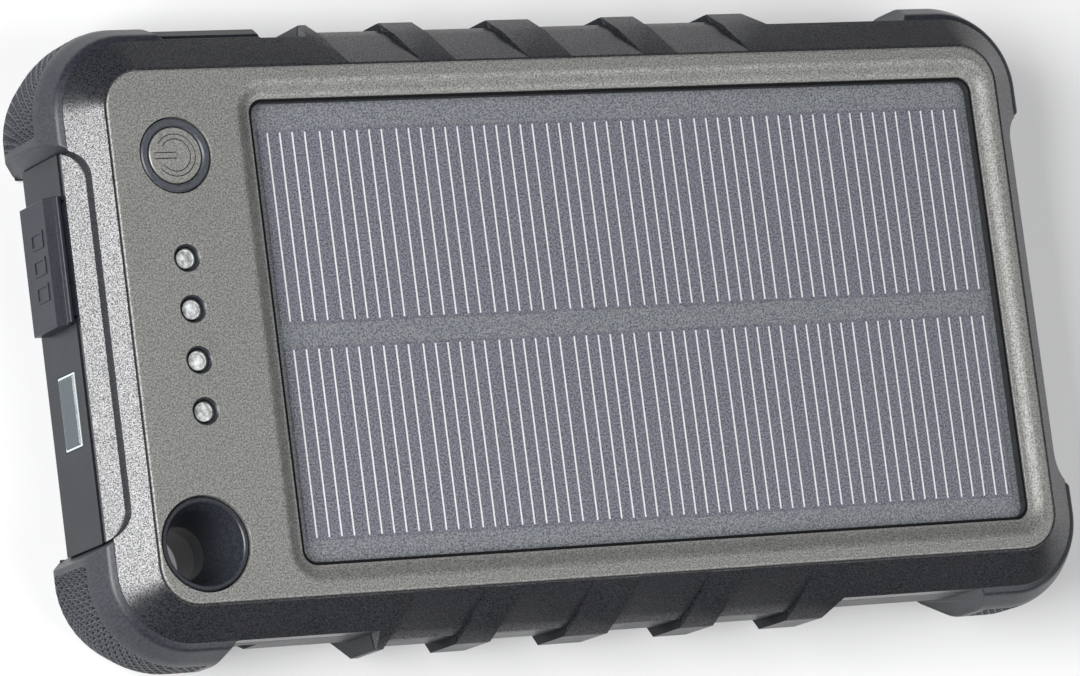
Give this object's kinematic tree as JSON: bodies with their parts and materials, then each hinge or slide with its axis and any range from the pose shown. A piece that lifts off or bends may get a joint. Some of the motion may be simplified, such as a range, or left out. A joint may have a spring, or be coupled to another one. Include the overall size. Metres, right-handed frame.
{
  "type": "solar phone charger",
  "caption": "Rugged pocket power bank with a recessed solar panel, power button, charge lights, rubber corner guards, flapped ports and a lanyard eyelet.",
  "frame": {"origin": "centre of the flat rear face", "axes": "+Z out of the solar face, +X along the long side away from the USB end, +Y towards the long side with the charging input"},
  "size_m": [0.1446, 0.0822, 0.0215],
  "materials": {
    "guard_rubber": "matte, knurled",
    "housing_paint": "anthracite metallic paint, fine sparkle",
    "housing_plastic": "moulded, fine grain",
    "panel_paint": "warm grey metallic paint",
    "seal_rubber": "matte",
    "clear_plastic": "frosted clear moulding",
    "solar_cell": "silicon under resin",
    "solar_board": "printed backing board",
    "button_ring": "satin",
    "button_cap": "warm grey metallic paint",
    "black_plastic": "moulded",
    "white_plastic": "moulded",
    "eyelet_plastic": "moulded, fine grain",
    "flap_rubber": "smooth soft rubber",
    "steel": "plated",
    "gold_contact": "gold plated",
    "circuit_board": "solder mask",
    "chip_black": "moulded",
    "ferrite": "sintered",
    "copper": "enamelled wire",
    "ceramic": "sintered",
    "battery_foil": "laminated pouch",
    "foam": "closed-cell foam",
    "wire_red": "insulation",
    "wire_black": "insulation",
    "phosphor": "resin"
  },
  "bodies": {
    "case": {"corner_guard_left_top": "guard_rubber", "corner_guard_right_top": "guard_rubber", "corner_guard_left_bottom": "guard_rubber", "corner_guard_right_bottom": "guard_rubber", "front_housing": "housing_paint", "rear_housing": "housing_plastic", "front_panel": "panel_paint", "case_seal": "seal_rubber", "solar_cover": "clear_plastic", "cover_gasket": "seal_rubber", "solar_cells": "solar_cell", "solar_backing": "solar_board", "button_ring": "button_ring", "button_switch": "black_plastic", "button_board": "circuit_board", "light_pipe_1": "clear_plastic", "light_pipe_2": "clear_plastic", "light_pipe_3": "clear_plastic", "light_pipe_4": "clear_plastic", "status_lights": "white_plastic", "eyelet_bush": "eyelet_plastic", "usb_flap_bead": "flap_rubber", "charge_flap_bead": "flap_rubber", "usb_shell": "steel", "usb_tongue": "black_plastic", "usb_contacts": "gold_contact", "charge_socket": "steel", "charge_tongue": "black_plastic", "side_light_lens": "clear_plastic", "side_light_lamp": "white_plastic", "side_light_phosphor": "phosphor", "circuit_board": "circuit_board", "board_screws": "steel", "control_chips": "chip_black", "power_inductor": "ferrite", "inductor_winding": "copper", "chip_capacitors": "ceramic", "board_link": "black_plastic", "battery_cell": "battery_foil", "protection_board": "circuit_board", "battery_pad_lower": "foam", "battery_pad_upper": "foam", "battery_lead_red": "wire_red", "battery_lead_black": "wire_black", "solar_lead_red": "wire_red", "solar_lead_black": "wire_black", "case_screws": "steel"},
    "button": {"button_cap": "button_cap", "switch_plunger": "white_plastic"},
    "usb_flap": {"usb_flap": "flap_rubber"},
    "charge_flap": {"charge_flap": "flap_rubber"}
  },
  "joints": [
    {"name": "button_press", "type": "slide", "parent": "case", "child": "button", "axis": [0, 0, -1], "range_m": [0, 0.0005], "stiffness_N_per_m": 2500, "springref_m": -0.0001},
    {"name": "usb_flap_hinge", "type": "hinge", "parent": "case", "child": "usb_flap", "pos_m": [-0.07044, 0.0115, 0.0146], "axis": [0, 1, 0], "range_deg": [0, 110], "stiffness_Nm_per_rad": 0.0004, "springref_deg": -11.46},
    {"name": "charge_flap_hinge", "type": "hinge", "parent": "case", "child": "charge_flap", "pos_m": [-0.0467, 0.03907, 0.0146], "axis": [1, 0, 0], "range_deg": [0, 110], "stiffness_Nm_per_rad": 0.0004, "springref_deg": -11.46}
  ]
}
